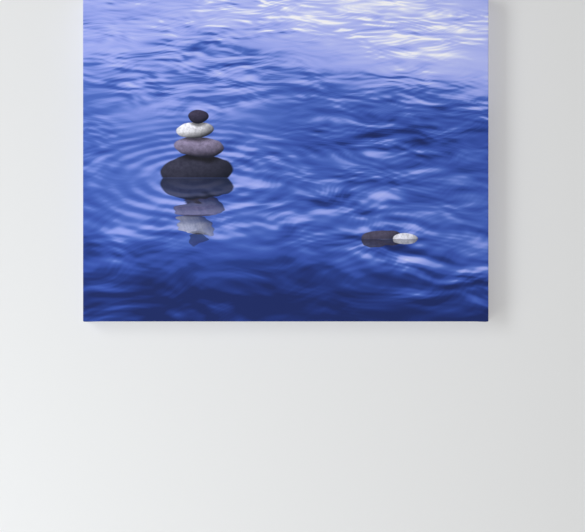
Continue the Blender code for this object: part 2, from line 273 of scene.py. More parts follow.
picture = {
    "horizon": 1.0,  # metres above the picture's middle, well past its top edge
    "rippleWidth": 58 * mm,  # how wide and how tall one ripple is drawn, one metre below the horizon
    "rippleHeight": 21.5 * mm,
    "drift": (0.4, 1.0),  # what bends the ripples: patches a ripple, detail
    "driftReach": (1.6, 1.2, 0.0),
    "swell": (0.9, 1.0, -0.1, 0.1),  # the broad slope under the waves: patches a ripple, detail, range
    "waveStep": 1.7,  # sets each wave off from the one before
    "waveReach": (0.42, -0.6, 1.6),  # where a wave shows: patches a ripple, weakest, strongest
    "calm": (0.15, 1.0, -0.55, 2.0),  # smooth and rough water: patches a ripple, detail, range
    "leastRough": 0.2,
    "waves": [  # length in ripples, heading in degrees, slope
        (2.1, 14, 0.030), (1.35, -28, 0.040), (0.95, 24, 0.040), (0.70, -6, 0.034), (0.52, 44, 0.024),
        (0.38, -38, 0.018), (0.26, 20, 0.011), (0.18, -52, 0.006),
    ],
    "ringLength": 0.62,  # of the rings round the stones, in ripples
    "tilt": 2.2,  # how strongly a slope changes the part of the sky that it mirrors
    "nearShade": (-0.31, -0.11, 0.36, 0.0),  # from one height to another: what it adds to the part mirrored
    "farGlow": (0.07, 0.31, 0.0, -0.40),
    "lean": 0.1,  # both slant down to the right
    "clouds": (0.1, 2.0, 0.86, 0.26),  # patches a ripple, detail, and the part mirrored between and in them
    "sky": [  # what the water mirrors, from the horizon to straight above
        (0.00, "FBFBFF"), (0.05, "E2E6FF"), (0.14, "B9C2FA"), (0.30, "A0ADF4"), (0.38, "8D9EEB"),
        (0.45, "6C86D9"), (0.50, "506FC6"), (0.57, "4160BA"), (0.65, "3652AC"), (0.72, "2D499F"),
        (0.78, "233C8A"), (0.90, "1A2F75"), (1.00, "142662"),
    ],
    "bleed": 4 * mm,  # how far the ink runs onto the back before bare primer
    "primer": "EDEBE4",
}
weave = {
    "threadPitch": 1.25 * mm,  # real threads lie about 0.5 mm apart: drawn coarser, so that they show
    "slub": (160.0, 1.0),  # patches a metre, detail
    "slubPush": (1.5, 1.5, 0.0),
    "roundness": (0.5, 0.5, 1.0),
    "gapShadeTone": (0.94, 1.005),  # painted shade: darker in the gaps between threads, a touch brighter on them
    "inkGloss": (0.2, 1.0, 0.78, 0.62),  # from low to high in the weave, its roughness
    "inkBump": (0.5, 0.16 * mm),  # strength and depth: primer and ink fill the weave
    "rawColours": [(0.3, "E8E3D7"), (0.7, "EEEADF")],
    # painted shade: the raw cloth is darker in the gaps between threads
    "rawGapShadeTone": (0.78, 1.0),
    "rawBump": (0.7, 0.25 * mm),
    "blotch": (30.0, 5.0),  # patches a metre, detail
}
stone = {
    "lightFrom": (-0.42, 0.74, 0.52),  # across, up, towards the eye
    "lump": (20.0, 2.0),  # uneven outline: patches a metre, detail
    "lumpReach": (16 * mm, 11 * mm, 0.0),
    "speckle": (110.0, 6.0, 0.72),  # patches a metre, detail, roughness
    "grain": (0.36, 0.64, 0.66, 1.2),  # range of the speckle's noise, and the tone that it gives
    "flatness": 2.6,  # 2 is a ball, more is a pebble with a flat face
    "daylight": (-0.55, 1.1, 0.03),  # from the far side to the near one, and the far side's light
    "brightest": (1.2, 0.6),  # the near side's light, straight and mirrored
    "haze": (0.002, 0.004, 0.014),  # evening light in the darkest spots
    "shadow": (-0.06, 0.45, 0.0),  # how far a stone's shadow lies below it, in its half sizes
    "shadowEdge": (0.72, 1.25, 0.8, 0.0),  # where it begins and ends, and how dark it is there
    "outline": (0.965, 1.015, 1.0, 0.0),  # its soft edge
    "waterline": 0.5 * mm,
    "mirrorShift": (1.1, 12 * mm),  # ripples shift a reflection more, the further down it lies
    "mirrorSideways": 0.45,
    "mirrorFade": (0.15, 0.55, 0.96),  # over this depth, from the far end's strength to the near one's
}
stoneGroups = [
    {
        "foot": (-0.168, -0.035),  # where the water meets the stones
        "rings": (7.0, 0.060),  # how far its rings reach, in ripples, and their slope
        "stones": [  # (across, up, half width, half height, turn, colour) from the foot, lowest first
            (0.000, 0.014, 0.069, 0.031, 0.03, "343342"),
            (0.006, 0.0585, 0.048, 0.0195, -0.06, "8D83A0"),
            (-0.003, 0.091, 0.035, 0.0155, 0.05, "F2F2FA"),
            (0.004, 0.1165, 0.021, 0.0125, -0.08, "3B3548"),
        ],
    },
    {
        "foot": (0.205, -0.150),
        "rings": (3.4, 0.036),
        "stones": [
            (-0.026, 0.003, 0.038, 0.0150, 0.05, "4A4558"),
            (0.020, 0.000, 0.024, 0.0115, -0.05, "DCDDE9"),
        ],
    },
]


def waterPlane(add, across, up):  # the flat lake seen at a slant, in ripples
    away = add("SUBTRACT", [picture["horizon"], up])
    sideways = add("DIVIDE", [add("DIVIDE", [across, away]), picture["rippleWidth"]])
    onward = add("DIVIDE", [1 / picture["rippleHeight"], away])
    return add("CombineXYZ", [sideways, onward, 1.0])


def stripes(add, distance, length):  # soft stripes this far apart, from -1 to 1
    turns = add("MULTIPLY", [distance, 2 * pi / length])
    return add("SINE", [turns])


def patches(add, plane, scale, detail, low, high):  # soft random patches between two values
    noisy = add("TexNoise", [plane, scale, detail], flatNoise)
    return add("MapRange", {0: noisy, 3: low, 4: high})


def waterSlope(add, plane):  # how far the water leans towards the eye: short crossing waves and rings
    drift = add("TexNoise", [plane, *picture["drift"]], flatNoise, 1)
    bent = add("multiply_add", [drift, picture["driftReach"], plane])
    slope = patches(add, bent, *picture["swell"])
    scale, weakest, strongest = picture["waveReach"]
    for index, (length, heading, lean) in enumerate(picture["waves"]):
        turns, heading = 2 * pi / length, radians(heading)
        along = (turns * sin(heading), turns * cos(heading), picture["waveStep"] * index)
        wave = add("SINE", [add("dot_product", [bent, along])])
        strength = patches(add, plane, scale / length**0.5, 0.0, weakest * lean, strongest * lean)
        strength = add("MAXIMUM", [strength, 0.0])
        slope = add("MULTIPLY_ADD", [wave, strength, slope])
    calm = add("MAXIMUM", [patches(add, plane, *picture["calm"]), picture["leastRough"]])
    slope = add("MULTIPLY", [slope, calm])
    for group in stoneGroups:
        footAcross, footUp = group["foot"]
        reach, lean = group["rings"]
        distance = picture["horizon"] - footUp
        foot = (footAcross / distance / picture["rippleWidth"], 1 / distance / picture["rippleHeight"], 1.0)
        offset = add("subtract", [plane, foot])
        radius = add("length", [offset])
        towards = add("SeparateXYZ", [add("normalize", [offset])], output=1)
        ring = add("MULTIPLY", [stripes(add, radius, picture["ringLength"]), towards])
        fade = add("MapRange", [radius, 0.4, reach, lean, 0.0], softly)
        slope = add("MULTIPLY_ADD", [ring, fade, slope])
    return slope


def drawWater(add, place, plane, slope):  # each spot shows the part of the evening sky that it mirrors
    height = add("dot_product", [place, (picture["lean"], 1.0, 0.0)])
    lower = add("MapRange", [height, *picture["nearShade"]], softly)
    upper = add("MapRange", [height, *picture["farGlow"]], softly)
    mirrored = add("ADD", [lower, upper])
    clouds = patches(add, plane, *picture["clouds"])
    mirrored = add("ADD", [mirrored, clouds])
    mirrored = add("MULTIPLY_ADD", [slope, picture["tilt"], mirrored])
    return add("ValToRGB", [mirrored], picture["sky"])


def drawStones(add, place, up, below, group, mirrored):  # lays each stone over what is below it
    lit = Vector(stone["lightFrom"]).normalized()
    footAcross, footUp = group["foot"]
    speckle = add("TexNoise", [place, *stone["speckle"]])
    lump = add("TexNoise", [place, *stone["lump"]], output=1)
    lump = add("subtract", [lump, (0.5, 0.5, 0.5)])
    place = add("multiply_add", [lump, stone["lumpReach"], place])
    under, over = (1.0, 0.0) if mirrored else (0.0, 1.0)
    edge = stone["waterline"]
    shown = add("MapRange", [up, footUp - edge, footUp + edge, under, over])
    if mirrored:  # a reflection loses strength away from the stones
        reach, far, near = stone["mirrorFade"]
        weaken = add("MapRange", [up, footUp - reach, footUp, far, near])
        shown = add("MULTIPLY", [shown, weaken])
    cover = None
    for across, rise, halfWidth, halfHeight, turn, colour in group["stones"]:
        middle, size = (footAcross + across, footUp + rise, 0.0), (halfWidth, halfHeight, 1.0)
        inside = add("Mapping", [place, middle, (0.0, 0.0, turn), size], turned)
        if cover:  # its shadow on the stone that it lies on
            shade = add("length", [add("add", [inside, stone["shadow"]])])
            shade = add("MapRange", [shade, *stone["shadowEdge"]], softly)
            shade = add("MULTIPLY", [shade, cover])
            shade = add("SUBTRACT", [1.0, shade])
            below = add("scale", [below, shade])
        far = add("length", [inside])
        square = add("POWER", [far, stone["flatness"]])
        depth = add("SQRT", [add("SUBTRACT", [1.0, square], {"use_clamp": True})])
        normal = add("add", [inside, add("CombineXYZ", {2: depth})])
        light = add("dot_product", [normal, lit])
        light = add("MapRange", [light, *stone["daylight"], stone["brightest"][mirrored]], softly)
        grain = add("MapRange", [speckle, *stone["grain"]])
        light = add("MULTIPLY", [light, grain])
        tone = add("scale", [linearColour(colour)[:3], light])
        tone = add("add", [tone, stone["haze"]])
        cover = add("MapRange", [far, *stone["outline"]])
        cover = add("MULTIPLY", [cover, shown])
        below = add("Mix", [cover, below, tone], blended)
    return below


def drawPicture(add, place):  # place is the unfolded sheet's point in metres
    across, up = add("SeparateXYZ", [place], output=firstTwo)
    plane = waterPlane(add, across, up)
    slope = waterSlope(add, plane)
    image = drawWater(add, place, plane, slope)
    growth, least = stone["mirrorShift"]
    for group in stoneGroups:  # each reflection, bent by the ripples
        depth = add("SUBTRACT", [group["foot"][1], up])
        reach = add("MULTIPLY_ADD", [depth, growth, least])
        shift = add("MULTIPLY", [slope, reach])
        under = add("ADD", [depth, group["foot"][1]])
        under = add("ADD", [under, shift])
        bent = add("MULTIPLY_ADD", [shift, stone["mirrorSideways"], across])
        mirror = add("CombineXYZ", [bent, under])
        image = drawStones(add, mirror, up, image, group, True)
    for group in stoneGroups:
        image = drawStones(add, place, up, image, group, False)
    return image


def wovenHeight(add, place):  # plain weave, from 0 to 1: each thread runs over one and under the next
    turns = pi / weave["threadPitch"]
    wave = add("multiply", [place, (turns, turns, 0.0)])
    slub = add("TexNoise", [place, *weave["slub"]], output=1)
    wave = add("multiply_add", [slub, weave["slubPush"], wave])
    wave = add("sine", [wave])
    across, up = add("SeparateXYZ", [wave], output=firstTwo)
    crossing = add("CombineXYZ", [up, across])
    above = add("multiply", [add("sign", [wave]), crossing])
    above = add("multiply_add", [above, (0.5, -0.5, 0.0), (0.5, 0.5, 0.0)])
    thread = add("power", [add("absolute", [wave]), weave["roundness"]])
    thread = add("multiply", [thread, above])
    return add("MAXIMUM", add("SeparateXYZ", [thread], output=firstTwo))


def printedCanvas():  # primed poly-cotton, inkjet printed, sprayed satin: a soft sheen on a fine weave
    add, place, finish = newMaterial("polyCottonCanvasInkjetSatin", {"Specular IOR Level": 0.15}, "PrintUV")
    image = drawPicture(add, place)
    side = panel["depth"] + picture["bleed"]
    edge = (halves[0] + side, halves[1] + side, 1.0)
    past = add("subtract", [add("absolute", [place]), edge])
    past = add("MAXIMUM", add("SeparateXYZ", [past], output=firstTwo))
    bare = add("GREATER_THAN", [past, 0.0])
    image = add("Mix", [bare, image, picture["primer"]], blended)
    height = wovenHeight(add, place)
    # painted shade in the weave: the print is darkened in the gaps between threads
    gapShade = add("MapRange", [height, 0.0, 1.0, *weave["gapShadeTone"]], {"clamp": False})
    image = add("scale", [image, gapShade])
    sheen = add("MapRange", [height, *weave["inkGloss"]])
    return finish(image, height, weave["inkBump"], sheen)


def rawCanvas():  # the unprimed back of the cloth: off-white, dry and matt, with slubs, and painted shade in the weave's gaps
    plain = {"Roughness": 0.92, "Specular IOR Level": 0.15, "Sheen Weight": 0.15}
    add, place, finish = newMaterial("polyCottonCanvasRawBack", plain, "PrintUV")
    height = wovenHeight(add, place)
    blotch = add("TexNoise", [place, *weave["blotch"]])
    base = add("ValToRGB", [blotch], weave["rawColours"])
    # painted shade in the gaps between threads
    shadeIn = add("MapRange", [height, 0.0, 1.0, *weave["rawGapShadeTone"]], {"clamp": False})
    base = add("scale", [base, shadeIn])
    return finish(base, height, weave["rawBump"])


# The canvas: one sheet over the front, round the sides and onto the back, with its corner folds

canvas = {
    "thickness": 0.6 * mm,
    "frontRound": 1.6 * mm,
    "backRound": 1.5 * mm,
    "cornerRound": 1.5 * mm,
    "flange": 20 * mm,
    "cornerZone": 60 * mm,
    "step": 26 * mm,
    "sag": 0.45 * mm,
    "lift": 0.55 * mm,
    "liftSize": 40 * mm,
    "cutWander": 0.5 * mm,
    "wanderSize": 18 * mm,
    "held": (20 * mm, 1.2),  # within 1.2 times 20 mm of a corner, the fold holds the cut edge down
    "frontEdge": 4 * mm,  # the rows round the edge begin this far in, where the face's grid ends
    "roundSteps": 5,
    "sideSteps": 14,
    "cornerSteps": (10, 3),  # towards a corner and half round it
    "backRows": [inset * mm for inset in (5, 9, 13, 17, 19, 20)],
    "spare": 2 * mm,  # round the baked sheet
    "bakeShare": 0.79,  # printed face's part of the baked sheet
    "bakeRest": (0.81, 0.19),  # where the raw face's part begins, and its size
}
folds = {
    "layer": 0.75 * mm,
    "reach": 34 * mm,  # how far a fold reaches along the upper or lower edge at the panel's back
    "start": 10 * mm,  # how far down the side the wrapped cloth is drawn again
    "first": 2.5 * mm,  # this far round the front edge it leaves the cloth below
    "growth": 9 * mm,  # over this length it reaches its full thickness
    "under": 0.04,  # millimetres below that cloth where it leaves it
    "beside": 0.07,  # how much it rises on the side
    "sunk": -0.3 * mm,  # edges that mustn't show lie this deep
    "lip": 0.1 * mm,
    "turnSteps": 6,
    "lapSteps": 9,
    "puff": 0.25,
    "hem": ((0.0, 1.0), (0.35, 0.75), (0.5, 0.3)),  # the rounded free edge, in its thickness
}


def edgeProfile():  # (inset, y, way out in inset, way out in y) from the flat front to the cut edge behind
    front, back, steps = panel["front"], panel["back"], canvas["roundSteps"]
    turns = [pi / 2 * step / steps for step in range(steps + 1)]
    quarter = [(sin(turn), cos(turn)) for turn in turns]
    radius = canvas["frontRound"]
    rows = [(canvas["frontEdge"], front, 0.0, -1.0)]
    rows += [(radius * (1 - sine), front + radius * (1 - cosine), -sine, -cosine) for sine, cosine in quarter]
    start, radius, steps = front + radius, canvas["backRound"], canvas["sideSteps"]
    span = panel["depth"] - canvas["frontRound"] - radius
    rows += [(0.0, start + span * step / steps, -1.0, 0.0) for step in range(1, steps)]
    rows += [(radius * (1 - cosine), back - radius * (1 - sine), -cosine, sine) for sine, cosine in quarter]
    return rows + [(inset, back, 0.0, 1.0) for inset in canvas["backRows"]]


def sideStations(halfLength, inset):  # places along one side of a ring, and how far each is round the corner
    zone = canvas["cornerZone"]
    bend = max(canvas["cornerRound"] - inset, 0.0)
    inner = halfLength - zone
    count = round(2 * inner / canvas["step"])
    straight = [-inner + 2 * inner * i / count for i in range(count + 1)]
    run = zone - inset - bend
    steps, turnSteps = canvas["cornerSteps"]
    near = [inner + run * i / steps for i in range(1, steps + 1)]
    half = [(a, 0.0) for a in near]
    half += [(near[-1], pi / 4 * i / turnSteps) for i in range(1, turnSteps + 1)]
    return [(-a, -t) for a, t in reversed(half)] + [(a, 0.0) for a in straight] + half


def wander(place, size):  # smooth noise between -1 and 1
    return noise.noise(Vector(place) / size)


def onSide(side, along, out):  # a point at the lower, right, upper or left side, as (x, z) from the middle
    return ((along, -out), (out, along), (-along, out), (-out, -along))[side]


def sideHalves(side):  # half the side's length, and how far out the side is
    return halves[side % 2], halves[side % 2 - 1]


def shellPoint(side, along, turn, row, bend):  # a point of the sheet's outer face
    halfLength, farOut = sideHalves(side)
    inset, y = row[0], row[1]
    out = farOut - inset - bend + bend * cos(turn)
    position = along + bend * sin(turn)
    if row[3] == 1.0 and inset > canvas["backRound"]:  # on the back: the cut edge wanders and lifts a little
        share = (inset - canvas["backRound"]) / (canvas["flange"] - canvas["backRound"])
        unit, start = canvas["held"]
        hold = max(0.0, min(1.0, (halfLength - abs(along)) / unit - start))
        sway = wander((position, side * 3.7, 1.0), canvas["wanderSize"])
        lift = 0.5 + 0.5 * wander((position, side * 9.1, 5.0), canvas["liftSize"])
        out += share**3 * canvas["cutWander"] * sway * hold
        y += share**2 * canvas["lift"] * hold * lift
    x, z = onSide(side, position, out)
    return (x, y, panel["middle"] + z)


def unfolded(side, along, turn, path, bend):  # the same point on the flat sheet
    return onSide(side, along + bend * turn, sideHalves(side)[1] + path)


def quadRows(shape, uvLayer, grid):  # rows of points, each with its place on the flat sheet, made into faces
    verts = [[shape.verts.new(point) for point, flat in line] for line in grid]
    for i in range(len(verts) - 1):
        for j in range(len(verts[0]) - 1):
            corners = [(i, j), (i, j + 1), (i + 1, j + 1), (i + 1, j)]
            face = shape.faces.new([verts[a][b] for a, b in corners])
            face.smooth = True
            for loop, (a, b) in zip(face.loops, corners):
                loop[uvLayer].uv = grid[a][b][1]
    return verts


def pathLengths(rows):  # how far each row is along the cloth, from the panel's front edge
    lengths = [-rows[0][0]]
    for one, other in zip(rows, rows[1:]):
        lengths.append(lengths[-1] + hypot(other[0] - one[0], other[1] - one[1]))
    return lengths


def makeShell(shape, uvLayer):
    rows = edgeProfile()
    paths = pathLengths(rows)
    for side in range(4):
        grid = []
        for row, path in zip(rows, paths):
            bend = max(canvas["cornerRound"] - row[0], 0.0)
            places = [(side, *station) for station in sideStations(halves[side % 2], row[0])]
            grid.append([(shellPoint(*place, row, bend), unfolded(*place, path, bend)) for place in places])
        quadRows(shape, uvLayer, grid)
    acrossStations, upStations = [
        [a for a, t in sideStations(half, canvas["frontEdge"]) if t == 0.0] for half in halves
    ]
    grid = []
    for z in upStations:
        line = []
        for x in acrossStations:
            sag = (1 - (x / halves[0]) ** 2) * (1 - (z / halves[1]) ** 2)
            edge = abs(x) == max(acrossStations) or abs(z) == max(upStations)
            dip = 0.0 if edge else canvas["sag"] * sag
            line.append(((x, panel["front"] + dip, panel["middle"] + z), (x, z)))
        grid.append(line)
    quadRows(shape, uvLayer, grid)
    bmesh.ops.remove_doubles(shape, verts=shape.verts, dist=2e-6)


def foldSlices():  # closed slices of a corner fold: path along the cloth, where it begins, and its points
    sunk, lip, turnSteps, lapSteps = [folds[key] for key in ("sunk", "lip", "turnSteps", "lapSteps")]
    slope = folds["reach"] / panel["depth"]
    rows = edgeProfile()
    slices = []
    for (inset, y, outInset, outY), path in zip(rows, pathLengths(rows)):
        if path < folds["first"]:
            continue
        bend = max(canvas["cornerRound"] - inset, 0.0)

        def point(turn, further, off):  # turn: 0 on the side, a right angle on the edge; off: above the cloth
            cosine, sine = cos(turn), sin(turn)
            inX = inset + bend * (1 - cosine) + outInset * off * cosine + further * sine
            inZ = inset + bend * (1 - sine) + outInset * off * sine + further * cosine
            return (inX, y + outY * off, inZ)

        grown = min(1.0, (path - folds["first"]) / folds["growth"])
        rise = folds["layer"] * grown * grown * (3 - 2 * grown) - folds["under"] * mm * (1 - grown)
        behind = max(0.0, outY)
        beside = (folds["beside"] * grown - folds["under"]) * mm * (1 - behind) + sunk * behind
        hang = folds["start"] * (1 - behind) + lip
        quarter = pi / 2
        section = [point(0.0, hang, beside - lip)]
        section += [point(0.0, share * hang, beside) for share in (0.6, 0.15, 0.0)]
        for step in range(1, turnSteps):
            turn = quarter * step / turnSteps
            section.append(point(turn, 0.0, beside + (rise - beside) * sin(turn)))
        span = slope * path - inset - bend
        for step in range(lapSteps):
            share = step / lapSteps
            puff = folds["puff"] * max(rise, 0.0) * sin(pi * share) ** 2
            section.append(point(quarter, span * share, rise + puff))
        for further, off in folds["hem"]:
            section.append(point(quarter, span + further * rise, off * rise))
        section.append(point(quarter, span + 0.45 * rise, sunk))
        slices.append((path, -(inset + bend + hang), section))
    return slices


def makeFold(shape, uvLayer, right, top):  # the side's spare cloth, wrapped over the upper or lower edge
    halfWidth, halfHeight = halves
    grid = []
    for path, travelled, section in foldSlices():
        line = []
        for index, (inX, y, inZ) in enumerate(section):
            if index:
                travelled += dist(section[index - 1], section[index])
            point = (right * (halfWidth - inX), y, panel["middle"] + top * (halfHeight - inZ))
            line.append((point, (right * (halfWidth + path), top * (halfHeight + travelled))))
        grid.append(line)
    verts = quadRows(shape, uvLayer, grid)
    last = len(verts) - 1
    hidden = [((i, 0), (i + 1, 0), (i + 1, -1), (i, -1)) for i in range(last)]
    ends = [tuple((i, j) for j in range(len(verts[0]))) for i in (0, last)]
    for corners in hidden + ends:  # the underside, and at the ends the fold's tip and the cloth's cut edge
        face = shape.faces.new([verts[i][j] for i, j in corners])
        face.material_index = 0 if corners == ends[0] else 1
        for loop, (i, j) in zip(face.loops, corners):
            loop[uvLayer].uv = grid[i][j][1]


def makeCanvas():
    shell = bmesh.new()
    uvLayer = shell.loops.layers.uv.new("PrintUV")
    makeShell(shell, uvLayer)
    piece = meshPiece("stretched_canvas", shell, [printedCanvas(), rawCanvas()])
    solid = piece.modifiers.new("clothThickness", "SOLIDIFY")
    solid.thickness = canvas["thickness"]
    solid.offset = -1.0
    solid.material_offset = 1
    solid.material_offset_rim = 1
    graph = bpy.context.evaluated_depsgraph_get()
    thick = bpy.data.meshes.new_from_object(piece.evaluated_get(graph))
    piece.modifiers.clear()
    shape = bmesh.new()
    shape.from_mesh(thick)
    fold = bmesh.new()
    foldUv = fold.loops.layers.uv.new("PrintUV")
    for right, top in panelCorners:
        makeFold(fold, foldUv, right, top)
    bmesh.ops.recalc_face_normals(fold, faces=fold.faces)
    folded = toMesh("folds", fold)
    shape.from_mesh(folded)
    bakeLayer = shape.loops.layers.uv.new("OFBake")
    uvLayer = shape.loops.layers.uv["PrintUV"]
    reach = [half + panel["depth"] + canvas["flange"] + canvas["spare"] for half in halves]
    start, size = canvas["bakeRest"]
    for face in shape.faces:  # the printed face takes four fifths of the baked sheet, the raw one the rest
        for loop in face.loops:
            u, v = ((c / r + 1) / 2 for c, r in zip(loop[uvLayer].uv, reach))
            printed = face.material_index == 0
            loop[bakeLayer].uv = (u, canvas["bakeShare"] * v) if printed else (u, start + size * v)
    shape.to_mesh(piece.data)
    shape.free()
    bpy.data.meshes.remove(thick)
    bpy.data.meshes.remove(folded)
    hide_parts("canvas")


makeCanvas()
print("canvas stretched and folded")


# The wooden parts: planed pine bars and brace, and sawn beech keys

boards = {  # which way the grain runs, the tree's heart (across, y), ring width, knots (x, z, radius)
    "bar_top": ("X", (0.046, -0.088), 4.4 * mm, [(0.171, 0.009, 4.6 * mm)]),
    "bar_bottom": ("X", (-0.640, 0.030), 3.4 * mm, [(-0.236, -0.566, 6.2 * mm)]),
    "bar_left": ("Z", (-0.366, -0.075), 5.2 * mm, [(-0.357, -0.185, 5.4 * mm)]),
    "bar_right": ("Z", (0.300, -0.052), 3.9 * mm, [(0.367, -0.402, 3.6 * mm), (0.356, -0.318, 2.2 * mm)]),
    "brace": ("Z", (0.052, -0.074), 4.6 * mm, [(-0.004, -0.372, 3.8 * mm)]),
}
pine = {
    "earlyWood": "EBD3A6",
    "lateWood": "BE8E55",
    "knotRim": "6E4425",
    "knotHeart": "A97242",
    "drift": 15 * mm,  # how far the rings wander along a bar
    "driftPatches": (2.2, 9.0),  # patches a metre, along the grain and across it
    "year": [  # from one spring to the next: 000000 is early wood, FFFFFF late wood
        (0.0, "1C1C1C"), (0.08, "000000"), (0.50, "202020"), (0.80, "A0A0A0"), (0.93, "FFFFFF"),
        (1.0, "404040"),
    ],
    "uneven": (70.0, 1.0),  # good and bad years: patches a metre, detail
    "unevenShift": 1.8,  # in rings
    "contrast": (0.26, 0.80),
    "fibre": 0.9 * mm,  # real fibres are finer than a hair: drawn coarser, so that they show
    "fibreRun": 22.0,  # patches a metre along the grain
    "fibreTone": (0.88, 1.05),
    "cloud": (4.0, 26.0),
    "cloudTone": (0.93, 1.03),
    "planerMarks": 2.6 * mm,
    "relief": (0.15, 0.10),  # late wood and planer marks, beside the fibres
    "gloss": (0.68, 0.54),
    "bump": (0.5, 0.1 * mm),
}
knots = {  # in the knot's radius where nothing else is said
    "length": 0.7,  # a knot is longer along the grain
    "wobble": (240.0, 1.0),  # patches a metre, detail
    "wobbleShift": 0.28,
    "push": (4.2, 2.4),  # the rings part round a knot: how far away, and by how much
    "layer": 1.4 * mm,
    "layerTone": 0.45,
    "rim": (0.7, 1.1),
    "edge": (1.0, 1.18),
}
beech = {
    "colours": [(0.32, "C4966A"), (0.66, "DDB68A")],
    "figure": (30.0, 420.0),  # patches a metre, along the grain and across it
    "fleck": "9A6A42",
    "fleckSize": (3.0 * mm, 0.7 * mm),
    "fleckShare": (0.58, 0.68, 0.0, 0.75),  # only the noise's peaks are flecks
    "gloss": (0.7, 0.56),
    "bump": (0.5, 0.08 * mm),
}


def grainScale(run, along, across):  # one scale along the grain and another across it
    return (along, across, across) if run == "X" else (across, across, along)


def planedPine(board, run, heart, ringWidth, spots):  # pale softwood: broad rings, fine fibres, small knots
    add, place, finish = newMaterial("pinePlaned_" + board, {"Specular IOR Level": 0.3})
    alongX = run == "X"
    heartLine = (0.0, heart[1], heart[0]) if alongX else (heart[0], heart[1], 0.0)

    def stretched(along, across, shift):
        return add("multiply_add", [place, grainScale(run, along, across), (shift,) * 3])

    number = float(sorted(boards).index(board))  # no two boards have the same grain
    drift = stretched(*pine["driftPatches"], 3.1 * number)
    drift = add("TexNoise", [drift, 1.0, 2.0], output=1)
    drift = add("subtract", [drift, (0.5, 0.5, 0.5)])
    bent = add("multiply_add", [drift, (pine["drift"],) * 3, place])
    bent = add("subtract", [bent, heartLine])
    bent = add("multiply", [bent, grainScale(run, 0.0, 1.0)])
    radius = add("length", [bent])
    knotFields = []
    flat = (knots["length"], 0.0, 1.0) if alongX else (1.0, 0.0, knots["length"])
    for x, z, size in spots:
        offset = add("subtract", [place, (x, 0.0, z)])
        offset = add("multiply", [offset, flat])
        distance = add("length", [offset])
        wobble = add("TexNoise", [place, *knots["wobble"]])
        distance = add("MULTIPLY_ADD", [wobble, knots["wobbleShift"] * size, distance])
        reach, push = [size * share for share in knots["push"]]
        push = add("MapRange", [distance, 0.0, reach, push, 0.0], {"interpolation_type": "SMOOTHERSTEP"})
        radius = add("ADD", [radius, push])
        knotFields.append((distance, size))
    uneven = add("TexNoise", [radius, *pine["uneven"]], lineNoise)
    rings = add("DIVIDE", [radius, ringWidth])
    rings = add("MULTIPLY_ADD", [uneven, pine["unevenShift"], rings])
    late = add("ValToRGB", [add("FRACT", [rings])], pine["year"])
    year = add("TexWhiteNoise", [add("FLOOR", [rings])], lineNoise)
    strength = add("MapRange", [year, 0.0, 1.0, *pine["contrast"]])
    late = add("MULTIPLY", [late, strength])
    tone = add("Mix", [late, pine["earlyWood"], pine["lateWood"]], blended)
    fibre = stretched(pine["fibreRun"], 1 / pine["fibre"], number)
    fibre = add("TexNoise", [fibre, 1.0, 3.0, 0.6])
    streak = add("MapRange", [fibre, *mostNoise, *pine["fibreTone"]])
    cloudy = add("TexNoise", [stretched(*pine["cloud"], number), 1.0])
    cloudy = add("MapRange", [cloudy, *mostNoise, *pine["cloudTone"]])
    streak = add("MULTIPLY", [streak, cloudy])
    tone = add("scale", [tone, streak])
    for distance, size in knotFields:
        layers = stripes(add, distance, knots["layer"])
        layers = add("MapRange", [layers, -1.0, 1.0, 0.0, knots["layerTone"]])
        rim = add("MapRange", [distance, *[size * share for share in knots["rim"]], 0.0, 1.0], softly)
        rim = add("MAXIMUM", [rim, layers])
        knot = add("Mix", [rim, pine["knotHeart"], pine["knotRim"]], blended)
        inside = add("MapRange", [distance, *[size * share for share in knots["edge"]], 1.0, 0.0])
        tone = add("Mix", [inside, tone, knot], blended)
    gloss = add("MapRange", [fibre, *mostNoise, *pine["gloss"]])
    lateRise, marksRise = pine["relief"]
    grain = add("MULTIPLY_ADD", [late, lateRise, fibre])
    marks = add("SeparateXYZ", [place], output=0 if alongX else 2)
    marks = stripes(add, marks, pine["planerMarks"])
    grain = add("MULTIPLY_ADD", [marks, marksRise, grain])
    return finish(tone, grain, pine["bump"], gloss)


def sawnBeech(run):  # close-grained hardwood: pinkish tan, with the short dark flecks of its rays
    add, place, finish = newMaterial("beechSawn" + run, {"Specular IOR Level": 0.3})
    figure = add("TexNoise", [add("multiply", [place, grainScale(run, *beech["figure"])]), 1.0, 4.0])
    base = add("ValToRGB", [figure], beech["colours"])
    rays = grainScale(run, *[1 / size for size in beech["fleckSize"]])
    rays = add("TexNoise", [add("multiply", [place, rays]), 1.0, 1.0])
    rays = add("MapRange", [rays, *beech["fleckShare"]])
    base = add("Mix", [rays, base, beech["fleck"]], blended)
    gloss = add("MapRange", [figure, *mostNoise, *beech["gloss"]])
    return finish(base, figure, beech["bump"], gloss)


# The metal parts and the pads

zinc = {
    "strip": [(0.3, "CDD2D8"), (0.5, "DBDEE0"), (0.7, "E2E0DA")],
    "wire": [(0.3, "989EA5"), (0.5, "AEB2B6"), (0.7, "B9B7B1")],  # drawn wire is duller than rolled strip
    "bloom": 260.0,  # patches a metre
    "rolling": (30.0, 30.0, 2000.0),  # lines 0.5 mm apart that rolling leaves on strip, drawn coarsely
    "scratch": (9 * mm, 9 * mm, 0.22 * mm),  # its length, depth and width
    "scratchTurn": 38,  # degrees
    "scratchGloss": (0.68, 0.74, 0.0, 0.2),  # only the noise's peaks are scratches: how much rougher they are
    "gloss": (0.36, 0.46),
    "bump": (0.25, 0.02 * mm),
}
rubber = {
    "colours": [(0.35, "17171A"), (0.65, "2A2A2D")],
    "grain": 0.5 * mm,
    "gloss": (0.62, 0.82),
    "bump": (0.5, 0.1 * mm),
}


